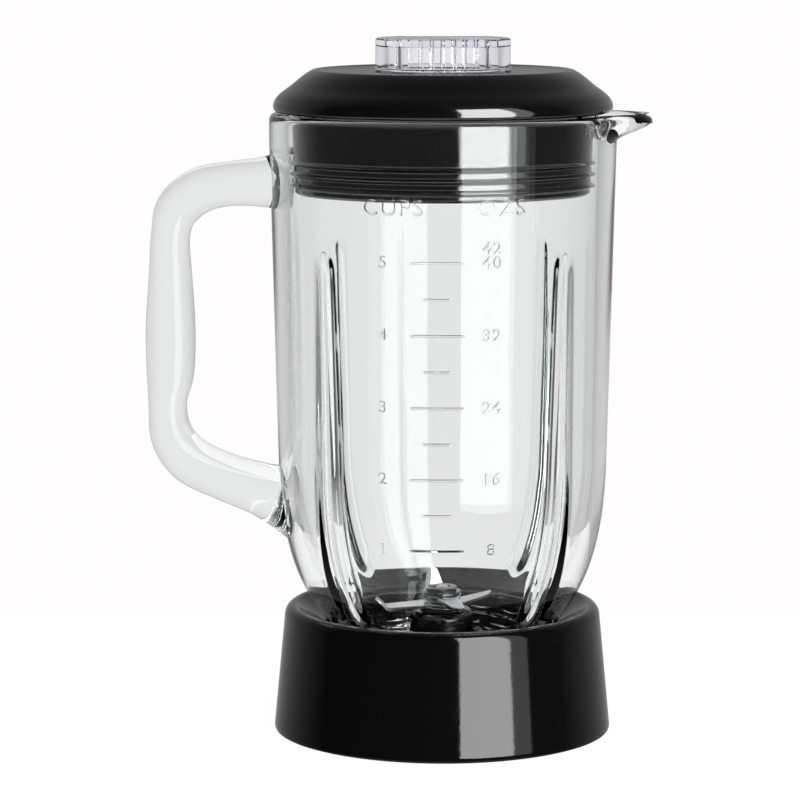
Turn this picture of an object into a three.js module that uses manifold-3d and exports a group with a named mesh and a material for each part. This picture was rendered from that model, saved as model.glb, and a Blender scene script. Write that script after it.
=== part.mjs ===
// The jug assembly of a countertop blender: a pressed-glass jug with its handle, spout and mixing
// ribs, a moulded lid with a clear filler cap, and the screw-on collar that clamps the blade unit
// to the jug's neck. The blade unit holds a shaft in two bushes, four cutting wings and the drive
// coupling that a motor base turns.
//
// Frame: millimetres, +Z up along the shaft. The origin is on the shaft's axis, in the plane that
// the collar stands on. The handle points to -X, the spout to +X and the graduated side to -Y.

import * as THREE from "three";
import { mergeVertices } from "three/addons/utils/BufferGeometryUtils.js";
import Module from "manifold-3d";

const wasm = await Module();
wasm.setup();

// ---------------------------------------------------------------- driving dimensions

const FINE = 72; // facets round the jug
const ROUND = 60; // facets round the lid and the collar
const MEDIUM = 48; // facets round the filler cap and the blade holder
const SMALL = 24; // facets round the shaft and what sits on it
const GAP = 0.3; // clearance between neighbouring pieces

// Collar
const COLLAR_BASE_R = 61.3;
const COLLAR_SHOULDER_R = 57.4;
const COLLAR_SHOULDER_Z = 42;
const COLLAR_TOP_Z = 45.5;
const COLLAR_LIP_R = 54;
const COLLAR_WALL = 2.8;
const FUNNEL_EDGE_R = 44.8;
const FUNNEL_EDGE_Z = 39.6;
const RING_ROOT_R = 42.4; // wall that the collar's thread stands on
const SHELF_R = 33.5;
const SHELF_Z = 17.3;
const SHELF_T = 3;

// Neck thread, right-handed, one start
const PITCH = 5;
const THREAD_TURNS = 1.25;
const NECK_R = 39.8;
const NECK_CREST_R = 41.6;
const RING_CREST_R = 40.6;
const THREAD_ROOT_W = 2.6;
const THREAD_CREST_W = 1.4;
const NECK_THREAD_Z = 28.2; // centre of the jug's thread where it starts

// Jug
const NECK_BOTTOM_Z = 26.4;
const NECK_BORE_R = 34.6;
const RIM_Z = 224.3;
const RIM_R = 62.3;
const MOUTH_R = 55.6;
const WAIST_Z = 98; // where the straight wall turns into the rounded foot
const WAIST_R = 59.4;
const WAIST_BORE_R = 54.4;
const RIB_COUNT = 4;
const RIB_TOP_Z = 180;
const RIB_HEIGHT = 6.5;
const RIB_HALF_ANGLE = 10; // degrees
const CUPS = 5;
const FIRST_CUP_Z = 75;
const CUP_SPACING = 25.3;
const LONG_LINE = 19;
const SHORT_LINE = 10;
const LINE_HEIGHT = 0.5;
const LINES_X = -2.6; // middle of the graduation lines

// Lid and filler cap
const LID_SEAT_Z = 224.9;
const LID_TOP_Z = 239.6;
const LID_R = 60.9;
const LID_CREASE_R = 46.2;
const LID_HOLE_R = 22.4;
const SKIRT_TOP_R = 54.3;
const SKIRT_BOTTOM_R = 52.8;
const SKIRT_BOTTOM_Z = 196.2;
const SEAL_RIB_R = 54.9;
const SEAL_RIB_Z = [199.8, 203.8, 207.8];
const CAP_R = 24.6;
const CAP_FLAT_Y = 17.5;
const CAP_TOP_Z = 251;
const CAP_WALL = 2;
const PLUG_R = 22;
const PLUG_BOTTOM_Z = 222;
const GRIP_RIBS = 8;

// Blade unit
const FLANGE_R = 38.9;
const FLANGE_Z = 20.6;
const FLANGE_T = 3;
const FLOOR_Z = 28;
const BOSS_R = 11;
const BOSS_TOP_Z = 43;
const BOSS_BOTTOM_Z = 17;
const BOSS_BORE_R = 8;
const SHAFT_R = 4;
const SHAFT_TOP_R = 3.6;
const SHAFT_FLAT = 2.7; // half the distance across the two flats that drive the blades
const BLADE_T = 1.3;
const BLADE_HUB_R = 6.9;
const BLADE_BEND_R = 8.2; // the blades are flat this far out
const CROSS_ANGLE = 20; // degrees that the crossed blades stand turned from the X and Y axes
const COUPLING_R = 14;
const COUPLING_BOTTOM_Z = 6;
const COUPLING_H = 8.7;

// ---------------------------------------------------------------- helpers

const radians = THREE.MathUtils.degToRad;

function solidOf(geometry) {
  const bare = geometry.index ? geometry.toNonIndexed() : geometry.clone();
  bare.deleteAttribute("normal");
  bare.deleteAttribute("uv");
  const merged = mergeVertices(bare, 1e-4);
  return new wasm.Manifold(
    new wasm.Mesh({
      numProp: 3,
      vertProperties: merged.attributes.position.array,
      triVerts: new Uint32Array(merged.index.array),
    }),
  );
}

function geometryOf(solid) {
  const mesh = solid.getMesh();
  const geometry = new THREE.BufferGeometry();
  geometry.setAttribute("position", new THREE.BufferAttribute(mesh.vertProperties, 3));
  geometry.setIndex(new THREE.BufferAttribute(mesh.triVerts, 1));
  geometry.computeVertexNormals();
  return geometry;
}

function join(...geometries) {
  return geometryOf(geometries.map(solidOf).reduce((a, b) => a.add(b)));
}

function cut(geometry, ...tools) {
  return geometryOf(tools.map(solidOf).reduce((a, b) => a.subtract(b), solidOf(geometry)));
}

function overlap(a, b) {
  return geometryOf(solidOf(a).intersect(solidOf(b)));
}

// A body turned about Z from an outline of [radius, height] points. The outline starts and ends on
// the axis, or else it is closed here.
function turned(outline, facets) {
  const points = outline.map(([r, z]) => new THREE.Vector2(r, z));
  if (THREE.ShapeUtils.area(points) < 0) points.reverse();
  if (points[0].x > 0) points.push(points[0].clone());
  return new THREE.LatheGeometry(points, facets).rotateX(Math.PI / 2);
}

function ring(innerR, outerR, bottomZ, topZ, facets) {
  return turned(
    [
      [innerR, bottomZ],
      [outerR, bottomZ],
      [outerR, topZ],
      [innerR, topZ],
    ],
    facets,
  );
}

function rod(radius, bottomZ, topZ, facets) {
  const geometry = new THREE.CylinderGeometry(radius, radius, topZ - bottomZ, facets);
  return geometry.rotateX(Math.PI / 2).translate(0, 0, (bottomZ + topZ) / 2);
}

function block(x0, x1, y0, y1, z0, z1) {
  const geometry = new THREE.BoxGeometry(x1 - x0, y1 - y0, z1 - z0);
  return geometry.translate((x0 + x1) / 2, (y0 + y1) / 2, (z0 + z1) / 2);
}

// A skin through rings of points, with a flat fan over each end. Each ring is convex.
function loft(rings) {
  const n = rings[0].length;
  const index = [];
  for (let i = 0; i + 1 < rings.length; i++)
    for (let j = 0; j < n; j++) {
      const a = i * n + j;
      const b = i * n + ((j + 1) % n);
      index.push(a, b, a + n, b, b + n, a + n);
    }
  const last = (rings.length - 1) * n;
  for (let j = 1; j + 1 < n; j++) {
    index.push(0, j + 1, j);
    index.push(last, last + j, last + j + 1);
  }
  const points = rings.flat();
  const corner = (i) => points[index[i]];
  let volume = 0;
  for (let i = 0; i < index.length; i += 3)
    volume += corner(i).dot(corner(i + 1).clone().cross(corner(i + 2)));
  if (volume < 0) index.reverse();
  return new THREE.BufferGeometry().setFromPoints(points).setIndex(index);
}

// Points [r, z] along a cubic curve between two of an outline's points, both ends left out.
function curved(start, pull, push, end, steps) {
  const vector = ([r, z]) => new THREE.Vector2(r, z);
  const curve = new THREE.CubicBezierCurve(...[start, pull, push, end].map(vector));
  return curve.getPoints(steps).slice(1, -1).map((p) => [p.x, p.y]);
}

// A helical ridge whose root is buried a little in the wall that it stands on.
function threadRidge(rootR, crestR, startZ) {
  const buried = rootR - Math.sign(crestR - rootR) * 0.4;
  const steps = 60;
  const rings = [];
  for (let i = 0; i <= steps; i++) {
    const turn = (THREAD_TURNS * i) / steps;
    const angle = 2 * Math.PI * turn;
    const z = startZ + PITCH * turn;
    const place = (r, dz) => new THREE.Vector3(r * Math.cos(angle), r * Math.sin(angle), z + dz);
    rings.push([
      place(buried, -THREAD_ROOT_W / 2),
      place(crestR, -THREAD_CREST_W / 2),
      place(crestR, THREAD_CREST_W / 2),
      place(buried, THREAD_ROOT_W / 2),
    ]);
  }
  return loft(rings);
}

// A circle cut off by two flats, as a shape: the shaft's driven end, and the filler cap's grip.
function twoFlats(radius, halfFlat) {
  const corner = Math.asin(halfFlat / radius);
  const shape = new THREE.Shape();
  shape.absarc(0, 0, radius, -corner, corner);
  shape.absarc(0, 0, radius, Math.PI - corner, Math.PI + corner);
  shape.closePath();
  return shape;
}

function extruded(shape, bottomZ, topZ, curveSegments = 10) {
  const options = { depth: topZ - bottomZ, bevelEnabled: false, curveSegments };
  return new THREE.ExtrudeGeometry(shape, options).translate(0, 0, bottomZ);
}

// ---------------------------------------------------------------- materials

const plastic = (color, roughness) =>
  new THREE.MeshStandardMaterial({ color, roughness, metalness: 0 });
const metal = (color, roughness) =>
  new THREE.MeshStandardMaterial({ color, roughness, metalness: 1 });
const clear = (color, opacity) =>
  new THREE.MeshStandardMaterial({ color, opacity, transparent: true, roughness: 0.04 });

const materials = {
  glass: clear(0xe4ece8, 0.3),
  clearPlastic: clear(0xdfe2f5, 0.35),
  blackSatin: plastic(0x121213, 0.38),
  blackGloss: plastic(0x0c0c0e, 0.2),
  rubber: plastic(0x2b2b2b, 0.75),
  nylon: plastic(0x2c2c2c, 0.5),
  steel: metal(0xc9cbcc, 0.22),
  bronze: metal(0xb08a52, 0.45),
};

// ---------------------------------------------------------------- collar

function collar() {
  const shoulder = curved(
    [COLLAR_SHOULDER_R, COLLAR_SHOULDER_Z],
    [COLLAR_SHOULDER_R - 0.2, COLLAR_TOP_Z - 1.4],
    [COLLAR_LIP_R + 1.8, COLLAR_TOP_Z],
    [COLLAR_LIP_R, COLLAR_TOP_Z],
    4,
  );
  const ringOuterR = RING_ROOT_R + COLLAR_WALL;
  const body = turned(
    [
      [COLLAR_BASE_R, 0],
      [COLLAR_SHOULDER_R, COLLAR_SHOULDER_Z],
      ...shoulder,
      [COLLAR_LIP_R, COLLAR_TOP_Z],
      [COLLAR_LIP_R - 1.3, COLLAR_TOP_Z - 0.6],
      [FUNNEL_EDGE_R, FUNNEL_EDGE_Z],
      [RING_ROOT_R, FUNNEL_EDGE_Z - 0.6],
      [RING_ROOT_R, SHELF_Z + SHELF_T],
      [SHELF_R, SHELF_Z + SHELF_T],
      [SHELF_R, SHELF_Z],
      [ringOuterR, SHELF_Z],
      [ringOuterR, FUNNEL_EDGE_Z - COLLAR_WALL],
      [COLLAR_LIP_R - 1.3, COLLAR_TOP_Z - 0.8 - COLLAR_WALL],
      [COLLAR_SHOULDER_R - COLLAR_WALL, COLLAR_SHOULDER_Z - 1],
      [COLLAR_BASE_R - COLLAR_WALL, 0],
    ],
    ROUND,
  );
  const thread = threadRidge(RING_ROOT_R, RING_CREST_R, NECK_THREAD_Z + PITCH / 2);
  return join(body, thread);
}

// ---------------------------------------------------------------- glass jug

// Pushes the bore's wall inwards into mixing ribs, which fade out at the top and at the neck.
function raiseRibs(geometry) {
  const position = geometry.getAttribute("position");
  for (let i = 0; i < position.count; i++) {
    const x = position.getX(i);
    const y = position.getY(i);
    const z = position.getZ(i);
    const radius = Math.hypot(x, y);
    if (radius < 1) continue;
    const spacing = 360 / RIB_COUNT;
    const turn = THREE.MathUtils.radToDeg(Math.atan2(y, x)) - 45;
    const off = Math.abs(turn - spacing * Math.round(turn / spacing));
    const across = 1 - THREE.MathUtils.smoothstep(off, 0, RIB_HALF_ANGLE);
    const top = THREE.MathUtils.smoothstep(RIB_TOP_Z - z, 0, 60);
    const bottom = THREE.MathUtils.smoothstep(z, NECK_BOTTOM_Z + 16, 62);
    const scale = (radius - RIB_HEIGHT * across * top * bottom) / radius;
    position.setXY(i, x * scale, y * scale);
  }
  return geometry;
}

// The handle's centre line runs from the upper root round the grip to the lower root. Each station
// is [x, z, half the thickness in the handle's plane].
const HANDLE_STATIONS = [
  [-50, 200.4, 12.5],
  [-57.5, 199.8, 10.6],
  [-64, 199.4, 8.8],
  [-76, 198.9, 8],
  [-87, 196.6, 8.2],
  [-95.2, 190, 8],
  [-98, 180.5, 7],
  [-98.2, 167, 7.7],
  [-98.3, 148, 8.9],
  [-98.5, 131, 8.6],
  [-99.6, 118.5, 6.9],
  [-98, 107, 7.8],
  [-91.5, 98.4, 8.6],
  [-80, 92.6, 8.6],
  [-67, 88, 9.2],
  [-58.5, 85, 10.8],
  [-51, 82.4, 12.5],
];
const HANDLE_HALF_WIDTH = 10.5;

function handle() {
  const places = HANDLE_STATIONS.map(([x, z]) => new THREE.Vector3(x, 0, z));
  const curve = new THREE.CatmullRomCurve3(places);
  const last = HANDLE_STATIONS.length - 1;
  const rings = [];
  const steps = 2 * last;
  for (let i = 0; i <= steps; i++) {
    const t = i / steps;
    const centre = curve.getPoint(t);
    const along = curve.getTangent(t);
    const across = new THREE.Vector3(along.z, 0, -along.x);
    const station = Math.min(last - 1, Math.floor(t * last));
    const thick = THREE.MathUtils.lerp(
      HANDLE_STATIONS[station][2],
      HANDLE_STATIONS[station + 1][2],
      t * last - station,
    );
    const section = [];
    for (let j = 0; j < 12; j++) {
      const angle = (j * 2 * Math.PI) / 12;
      const point = centre.clone().addScaledVector(across, thick * Math.cos(angle));
      point.y += HANDLE_HALF_WIDTH * Math.sin(angle);
      section.push(point);
    }
    rings.push(section);
  }
  return loft(rings);
}

// The spout's lip and the channel in it, each as sections across X: [x, half width, top, bottom].
const SPOUT_SECTIONS = [
  [57, 24, RIM_Z, 213.4],
  [62, 19, RIM_Z, 215.2],
  [67, 14.5, RIM_Z - 0.1, 217.4],
  [72, 10, RIM_Z - 0.4, 219],
  [74.4, 7, RIM_Z - 0.9, 220],
  [75.2, 4.5, RIM_Z - 1.8, 221.2],
];
const CHANNEL_SECTIONS = [
  [50, 17, RIM_Z + 2, 216],
  [58, 14, RIM_Z + 2, 217.6],
  [64, 11.5, RIM_Z + 2, 219],
  [69, 8.5, RIM_Z + 2, 220.6],
  [73, 5.5, RIM_Z + 2, 223.2],
];

function troughLoft(sections) {
  const rings = sections.map(([x, halfWidth, top, bottom]) => {
    const section = [];
    for (let j = 0; j <= 8; j++) {
      const angle = Math.PI * (j / 8);
      const y = halfWidth * Math.cos(angle);
      section.push(new THREE.Vector3(x, y, top - (top - bottom) * Math.sin(angle)));
    }
    return section;
  });
  return loft(rings);
}

function glassJug() {
  const shoulderZ = 40.6;
  const outside = turned(
    [
      [0, NECK_BOTTOM_Z],
      [NECK_R - 1.2, NECK_BOTTOM_Z],
      [NECK_R, NECK_BOTTOM_Z + 1],
      [NECK_R, shoulderZ - 1.4],
      [NECK_R + 3, shoulderZ],
      ...curved([NECK_R + 3, shoulderZ], [54.5, 56], [58.6, 72], [WAIST_R, WAIST_Z], 7),
      [WAIST_R, WAIST_Z],
      [RIM_R, RIM_Z - 10],
      [RIM_R, RIM_Z - 2],
      [RIM_R - 2, RIM_Z],
      [0, RIM_Z],
    ],
    FINE,
  );
  const straightBore = [0.25, 0.5, 0.68, 0.84].map((t) => [
    THREE.MathUtils.lerp(WAIST_BORE_R, MOUTH_R, t),
    THREE.MathUtils.lerp(WAIST_Z, RIM_Z, t),
  ]);
  const bore = turned(
    [
      [0, NECK_BOTTOM_Z - 2],
      [NECK_BORE_R, NECK_BOTTOM_Z - 2],
      [NECK_BORE_R, 38],
      [37.8, 43.6],
      ...curved([37.8, 43.6], [49, 58.7], [53.6, 73.6], [WAIST_BORE_R, WAIST_Z], 6),
      [WAIST_BORE_R, WAIST_Z],
      ...straightBore,
      [MOUTH_R, RIM_Z - 1.6],
      [MOUTH_R + 1.8, RIM_Z + 0.2],
      [MOUTH_R + 1.8, RIM_Z + 1],
      [0, RIM_Z + 1],
    ],
    FINE,
  );
  const shell = join(outside, handle(), troughLoft(SPOUT_SECTIONS));
  const hollow = cut(shell, raiseRibs(bore), troughLoft(CHANNEL_SECTIONS));
  const thread = threadRidge(NECK_R, NECK_CREST_R, NECK_THREAD_Z);
  return join(hollow, thread, ...graduationLines());
}

// Raised graduation lines on the wall: a long one for each cup and a short one for each half cup.
function graduationLines() {
  const lines = [];
  for (let i = 0; i < 2 * CUPS - 1; i++) {
    const z = FIRST_CUP_Z + (i * CUP_SPACING) / 2;
    const half = (i % 2 ? SHORT_LINE : LONG_LINE) / 2;
    const t = (z - WAIST_Z) / (RIM_Z - 10 - WAIST_Z);
    const wallR = z > WAIST_Z ? THREE.MathUtils.lerp(WAIST_R, RIM_R, t) : WAIST_R - (WAIST_Z - z) * 0.08;
    const bar = ring(wallR - 1.5, wallR + LINE_HEIGHT, z - 0.4, z + 0.4, FINE);
    const window = block(LINES_X - half, LINES_X + half, -RIM_R - 5, 0, z - 1, z + 1);
    lines.push(overlap(bar, window));
  }
  return lines;
}

// ---------------------------------------------------------------- lid

function lid() {
  const sealRib = (z) => {
    const t = (z - SKIRT_BOTTOM_Z) / (LID_SEAT_Z - SKIRT_BOTTOM_Z);
    const wallR = THREE.MathUtils.lerp(SKIRT_BOTTOM_R, SKIRT_TOP_R, t);
    return [
      [wallR, z - 0.9],
      [SEAL_RIB_R, z],
      [wallR, z + 0.9],
    ];
  };
  return turned(
    [
      [LID_HOLE_R, LID_TOP_Z],
      [LID_HOLE_R, LID_TOP_Z - 10],
      [LID_HOLE_R + 2, LID_TOP_Z - 10],
      [LID_HOLE_R + 2, LID_TOP_Z - 2.6],
      [LID_CREASE_R - 1.5, LID_TOP_Z - 2.8],
      [LID_R - 3.2, LID_SEAT_Z + 2.6],
      [SKIRT_TOP_R - 2.6, LID_SEAT_Z + 1.2],
      [SKIRT_BOTTOM_R - 2.4, SKIRT_BOTTOM_Z],
      [SKIRT_BOTTOM_R - 0.6, SKIRT_BOTTOM_Z],
      ...SEAL_RIB_Z.flatMap(sealRib),
      [SKIRT_TOP_R, LID_SEAT_Z],
      [LID_R - 0.8, LID_SEAT_Z],
      [LID_R, LID_SEAT_Z + 1.9],
      [LID_R - 0.5, LID_SEAT_Z + 4],
      [LID_R - 2.2, LID_SEAT_Z + 6.2],
      [LID_CREASE_R + 7.3, LID_TOP_Z - 4.2],
      [LID_CREASE_R, LID_TOP_Z + 0.3],
      [LID_CREASE_R - 1.8, LID_TOP_Z],
    ],
    ROUND,
  );
}

// ---------------------------------------------------------------- filler cap

function fillerCap() {
  const seatZ = LID_TOP_Z + GAP;
  const flangeZ = seatZ + 1.3;
  const plug = ring(PLUG_R - CAP_WALL, PLUG_R, PLUG_BOTTOM_Z, flangeZ, MEDIUM);
  const flange = rod(CAP_R, seatZ, flangeZ, MEDIUM);
  const plugBore = rod(PLUG_R - CAP_WALL, PLUG_BOTTOM_Z - 1, seatZ + 0.1, MEDIUM);
  const grip = extruded(twoFlats(CAP_R - 0.2, CAP_FLAT_Y), flangeZ - 0.2, CAP_TOP_Z);
  const hollow = extruded(
    twoFlats(PLUG_R - CAP_WALL, CAP_FLAT_Y - CAP_WALL),
    seatZ - 1,
    CAP_TOP_Z - 2.6,
  );
  const cornerX = Math.sqrt((CAP_R - 0.2) ** 2 - CAP_FLAT_Y ** 2);
  const ribs = [];
  for (let i = 1; i <= GRIP_RIBS; i++) {
    const x = THREE.MathUtils.lerp(-cornerX, cornerX, i / (GRIP_RIBS + 1));
    const near = -CAP_FLAT_Y - 0.8;
    ribs.push(block(x - 0.6, x + 0.6, near, -CAP_FLAT_Y + 0.5, flangeZ - 0.2, CAP_TOP_Z - 0.4));
    ribs.push(block(x - 0.6, x + 0.6, CAP_FLAT_Y - 0.5, -near, flangeZ - 0.2, CAP_TOP_Z - 0.4));
  }
  return cut(join(plug, flange, grip, ...ribs), plugBore, hollow);
}

// ---------------------------------------------------------------- blade unit, fixed pieces

function bladeHolder() {
  const body = turned(
    [
      [BOSS_BORE_R, BOSS_BOTTOM_Z],
      [BOSS_R, BOSS_BOTTOM_Z],
      [BOSS_R + 0.5, FLOOR_Z - 3.4],
      [30, FLOOR_Z - 3],
      [31.2, FLANGE_Z],
      [FLANGE_R, FLANGE_Z],
      [FLANGE_R, FLANGE_Z + FLANGE_T],
      [NECK_BORE_R - 1, FLANGE_Z + FLANGE_T],
      [NECK_BORE_R - 1, FLOOR_Z - 0.6],
      [NECK_BORE_R - 1.6, FLOOR_Z],
      [17, FLOOR_Z + 0.8],
      [BOSS_R + 1.8, FLOOR_Z + 3],
      [BOSS_R + 0.2, BOSS_TOP_Z - 1.2],
      [BOSS_R - 0.8, BOSS_TOP_Z],
      [BOSS_BORE_R, BOSS_TOP_Z],
    ],
    MEDIUM,
  );
  const webs = [];
  for (let i = 0; i < 6; i++) {
    const web = block(BOSS_R - 0.5, 31, -0.9, 0.9, FLANGE_Z + 0.5, FLOOR_Z - 2.5);
    webs.push(web.rotateZ((i * Math.PI) / 3));
  }
  return join(body, ...webs);
}

const SLEEVE_TOP_Z = 39;
const SLEEVE_BORE_R = 6.3;

function gasket() {
  const bottomZ = FLANGE_Z + FLANGE_T + GAP;
  return ring(NECK_BORE_R, FLANGE_R, bottomZ, NECK_BOTTOM_Z - GAP, MEDIUM);
}

function bearingSleeve() {
  return ring(SLEEVE_BORE_R, BOSS_BORE_R - GAP, BOSS_BOTTOM_Z + GAP, SLEEVE_TOP_Z, SMALL);
}

function bush(bottomZ, topZ) {
  return ring(SHAFT_R + GAP, SLEEVE_BORE_R - GAP, bottomZ, topZ, SMALL);
}

function shaftSeal() {
  return turned(
    [
      [SHAFT_R + 1.6, SLEEVE_TOP_Z + GAP],
      [BOSS_BORE_R - GAP, SLEEVE_TOP_Z + GAP],
      [BOSS_BORE_R - GAP, BOSS_TOP_Z - GAP],
      [SHAFT_R + GAP, BOSS_TOP_Z - GAP],
      [SHAFT_R + GAP, BOSS_TOP_Z - 1.2],
    ],
    SMALL,
  );
}

// ---------------------------------------------------------------- blade unit, turning pieces

const CLIP_Z = 15;
const NYLON_T = 0.6;
const WASHER_T = 0.5;
const STACK_Z = BOSS_TOP_Z + GAP; // the washers and blades are stacked on the boss from here up
const NYLON_Z = STACK_Z;
const STEEL_WASHER_Z = NYLON_Z + NYLON_T + GAP;
const LOWER_BLADE_Z = STEEL_WASHER_Z + WASHER_T + GAP;
const SPACER_Z = LOWER_BLADE_Z + BLADE_T + GAP;
const UPPER_BLADE_Z = SPACER_Z + WASHER_T + GAP;
const TOP_WASHER_Z = UPPER_BLADE_Z + BLADE_T + GAP;
const NUT_Z = TOP_WASHER_Z + WASHER_T + GAP;
const NUT_H = 1.2;

function shaft() {
  const drivenZ = LOWER_BLADE_Z - 0.3;
  const body = turned(
    [
      [0, COUPLING_BOTTOM_Z + 5.2],
      [SHAFT_R - 0.4, COUPLING_BOTTOM_Z + 5.2],
      [SHAFT_R, COUPLING_BOTTOM_Z + 5.6],
      [SHAFT_R, CLIP_Z - 0.1],
      [SHAFT_R - 0.8, CLIP_Z - 0.1],
      [SHAFT_R - 0.8, CLIP_Z + 0.8],
      [SHAFT_R, CLIP_Z + 0.8],
      [SHAFT_R, drivenZ],
      [0, drivenZ],
    ],
    SMALL,
  );
  const driven = extruded(twoFlats(SHAFT_TOP_R, SHAFT_FLAT), drivenZ - 0.5, NUT_Z, 6);
  driven.rotateZ(radians(CROSS_ANGLE));
  const tip = rod(SHAFT_FLAT, NUT_Z - 0.5, NUT_Z + NUT_H + 0.3, SMALL);
  return join(body, driven, tip);
}

// One wing, lying along +X from the blade's hub, with its plan outline from [x, half width] points.
// It is bent up by angle degrees about a line at bendR.
function wing(outline, bendR, angle) {
  const shape = new THREE.Shape();
  outline.forEach(([x, y], i) => (i ? shape.lineTo(x, y) : shape.moveTo(x, y)));
  const flat = extruded(shape, 0, BLADE_T).translate(-bendR, 0, 0);
  return flat.rotateY(radians(-angle)).translate(bendR, 0, 0);
}

function bladeHub() {
  const bar = block(-BLADE_BEND_R, BLADE_BEND_R, -4.2, 4.2, 0, BLADE_T);
  const hub = join(rod(BLADE_HUB_R, 0, BLADE_T, SMALL), bar);
  const hole = extruded(twoFlats(SHAFT_TOP_R + GAP, SHAFT_FLAT + GAP), -1, BLADE_T + 1, 6);
  return { hub, hole };
}

// Steep wing on one side, wing that dips on the other.
function upperBlade() {
  const { hub, hole } = bladeHub();
  const steep = wing([[8.2, -4], [15.6, -2.4], [17, 1.2], [8.2, 4]], BLADE_BEND_R, 62);
  const dipping = wing([[7, -4.2], [17, -2.6], [19, 1.4], [7, 4.2]], 7, -6);
  const blade = join(hub, steep, dipping.rotateZ(Math.PI));
  return cut(blade, hole.rotateZ(Math.PI / 2)).rotateZ(radians(90 + CROSS_ANGLE));
}

// Flat wing with a turned-up tip on one side, gently rising wing on the other.
function lowerBlade() {
  const { hub, hole } = bladeHub();
  const rising = wing([[7, -4.2], [18, -2.8], [19.8, 1.6], [7, 4.2]], 7, 9);
  const level = wing([[7, -4.2], [21.8, -3.4], [21.8, 3.4], [7, 4.2]], 7, 0);
  const tip = wing([[20.8, -3.4], [26.8, -1.2], [27.9, 2.6], [20.8, 3.4]], 21.6, 42);
  const blade = join(hub, rising, join(level, tip).rotateZ(Math.PI));
  return cut(blade, hole).rotateZ(radians(CROSS_ANGLE));
}

function washer(boreR, outerR, thickness) {
  return ring(boreR + GAP, outerR, 0, thickness, SMALL);
}

function nut() {
  const hexagon = new THREE.CylinderGeometry(6, 6, NUT_H, 6).rotateX(Math.PI / 2);
  const hole = rod(SHAFT_FLAT + GAP, -NUT_H, NUT_H, SMALL);
  return cut(hexagon.translate(0, 0, NUT_H / 2), hole);
}

// A C-shaped clip that snaps into the shaft's groove.
function retainingClip() {
  const whole = ring(SHAFT_R - 0.5, SHAFT_R + 2.6, 0, 0.7, SMALL);
  return cut(whole, block(0, 10, -2.2, 2.2, -1, 2));
}

// The socket is two squares turned by 45 degrees, which an eight-pointed driver enters from below.
function driveCoupling() {
  const body = turned(
    [
      [0, 0],
      [COUPLING_R - 0.8, 0],
      [COUPLING_R, 0.8],
      [COUPLING_R, 5.4],
      [8.2, 6.6],
      [8.2, COUPLING_H],
      [0, COUPLING_H],
    ],
    MEDIUM,
  );
  const half = 5.6;
  const square = () => block(-half, half, -half, half, -1, 5);
  const shaftHole = rod(SHAFT_R + GAP, 4, COUPLING_H + 1, SMALL);
  return cut(body, square(), square().rotateZ(Math.PI / 4), shaftHole);
}

// ---------------------------------------------------------------- assembly

function piece(name, geometry, material, z = 0) {
  const mesh = new THREE.Mesh(geometry, material);
  mesh.name = name;
  mesh.position.z = z;
  return mesh;
}

const bladeUnit = new THREE.Group();
bladeUnit.add(
  piece("blade_holder", bladeHolder(), materials.blackSatin),
  piece("sealing_gasket", gasket(), materials.rubber),
  piece("bearing_sleeve", bearingSleeve(), materials.steel),
  piece("lower_bush", bush(BOSS_BOTTOM_Z + 2 * GAP, 25), materials.bronze),
  piece("upper_bush", bush(31, SLEEVE_TOP_Z - GAP), materials.bronze),
  piece("shaft_seal", shaftSeal(), materials.rubber),
);

const rotor = new THREE.Group();
rotor.add(
  piece("blade_shaft", shaft(), materials.steel),
  piece("nylon_washer", washer(SHAFT_R, 7.6, NYLON_T), materials.nylon, NYLON_Z),
  piece("thrust_washer", washer(SHAFT_R, 7, WASHER_T), materials.steel, STEEL_WASHER_Z),
  piece("lower_blade", lowerBlade(), materials.steel, LOWER_BLADE_Z),
  piece("blade_spacer", washer(SHAFT_TOP_R, 6.5, WASHER_T), materials.steel, SPACER_Z),
  piece("upper_blade", upperBlade(), materials.steel, UPPER_BLADE_Z),
  piece("blade_washer", washer(SHAFT_TOP_R, 6.8, WASHER_T), materials.steel, TOP_WASHER_Z),
  piece("blade_nut", nut(), materials.steel, NUT_Z),
  piece("lower_washer", washer(SHAFT_R, 7.2, WASHER_T), materials.nylon, CLIP_Z + 1),
  piece("retaining_clip", retainingClip(), materials.steel, CLIP_Z),
  piece("drive_coupling", driveCoupling(), materials.steel, COUPLING_BOTTOM_Z),
);

const jug = new THREE.Group();
jug.add(
  piece("collar", collar(), materials.blackGloss),
  bladeUnit,
  rotor,
  piece("glass_jug", glassJug(), materials.glass),
  piece("lid", lid(), materials.blackSatin),
  piece("filler_cap", fillerCap(), materials.clearPlastic),
);

export default jug;
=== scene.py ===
"""The looks of a blender's glass jug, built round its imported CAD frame. Lengths are in millimetres
in the named values and helpers, and become metres where a mesh is made. The shaft's axis is the Z
axis, the handle is at -X, the spout at +X and the graduated side at -Y."""

import math

import bmesh
import bpy
from mathutils import Matrix, Vector


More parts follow.
